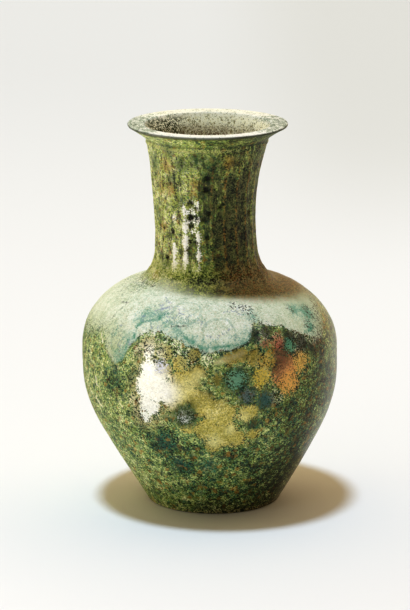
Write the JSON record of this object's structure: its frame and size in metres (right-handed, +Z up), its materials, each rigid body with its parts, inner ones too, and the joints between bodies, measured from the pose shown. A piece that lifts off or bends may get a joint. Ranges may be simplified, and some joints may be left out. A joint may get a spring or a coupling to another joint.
{
  "type": "bronze vase",
  "caption": "Small ancient bronze vase, hollow and open, with a full belly, a fluted neck and a flat turned-out lip, patinated and crusted.",
  "frame": {"origin": "on the ground under the middle of the belly", "axes": "+Z up out of the mouth, -Y towards the front of the vase, +X to its right as seen from the front"},
  "size_m": [0.12, 0.12, 0.18],
  "materials": {
    "bronze": "excavated bronze: dark green and teal patina with bare golden spots, rust-brown stains and a pale mineral crust on the shoulder"
  },
  "bodies": {
    "root": {"vase": "bronze"}
  },
  "joints": []
}
